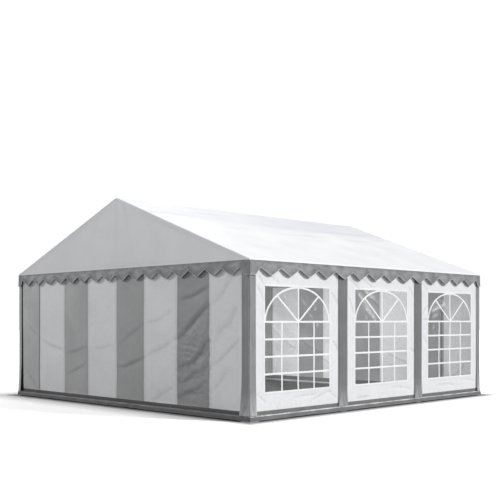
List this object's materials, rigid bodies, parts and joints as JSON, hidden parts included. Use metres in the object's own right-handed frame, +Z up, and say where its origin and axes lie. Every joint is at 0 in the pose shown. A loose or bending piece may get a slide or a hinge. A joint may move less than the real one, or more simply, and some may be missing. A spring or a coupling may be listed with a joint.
{
  "type": "marquee tent",
  "caption": "Gable-roofed party marquee with a plug-together steel tube frame, sheet roof with zigzag valance, window walls with clear panes, striped gable walls and a ground skirt.",
  "frame": {"origin": "on the ground under the middle of the tent, at the bottom centre of its box", "axes": "+Z up, Y along the ridge with the front gable at -Y, X across the gables with the right long side at +X"},
  "size_m": [6.0848, 6.0848, 3.32],
  "materials": {
    "galvanised_steel": "dull zinc, lightly mottled",
    "white_sheet": "white coated cloth, satin",
    "striped_sheet": "white and grey coated cloth in broad upright stripes, satin",
    "grey_sheet": "grey coated cloth, satin",
    "clear_foil": "soft clear foil, glossy"
  },
  "bodies": {
    "root": {"ground_frame": "galvanised_steel", "post_right_1": "galvanised_steel", "post_right_2": "galvanised_steel", "post_right_3": "galvanised_steel", "post_right_4": "galvanised_steel", "post_left_1": "galvanised_steel", "post_left_2": "galvanised_steel", "post_left_3": "galvanised_steel", "post_left_4": "galvanised_steel", "gable_beam_front": "galvanised_steel", "gable_beam_back": "galvanised_steel", "eave_purlin_right": "galvanised_steel", "eave_purlin_left": "galvanised_steel", "roof_truss_1": "galvanised_steel", "roof_truss_2": "galvanised_steel", "roof_truss_3": "galvanised_steel", "roof_truss_4": "galvanised_steel", "ridge_purlin_1": "galvanised_steel", "ridge_purlin_2": "galvanised_steel", "ridge_purlin_3": "galvanised_steel", "roof_cover": "white_sheet", "valance": "grey_sheet", "gable_wall_front": "striped_sheet", "gable_wall_back": "striped_sheet", "window_wall_right_1": "white_sheet", "window_wall_right_2": "white_sheet", "window_wall_right_3": "white_sheet", "window_wall_left_1": "white_sheet", "window_wall_left_2": "white_sheet", "window_wall_left_3": "white_sheet", "window_pane_right_1": "clear_foil", "window_pane_right_2": "clear_foil", "window_pane_right_3": "clear_foil", "window_pane_left_1": "clear_foil", "window_pane_left_2": "clear_foil", "window_pane_left_3": "clear_foil", "post_cover_right_2": "grey_sheet", "post_cover_right_3": "grey_sheet", "post_cover_left_2": "grey_sheet", "post_cover_left_3": "grey_sheet", "corner_cover_front_right": "grey_sheet", "corner_cover_front_left": "grey_sheet", "corner_cover_back_right": "grey_sheet", "corner_cover_back_left": "grey_sheet", "ground_skirt": "grey_sheet"}
  },
  "joints": []
}
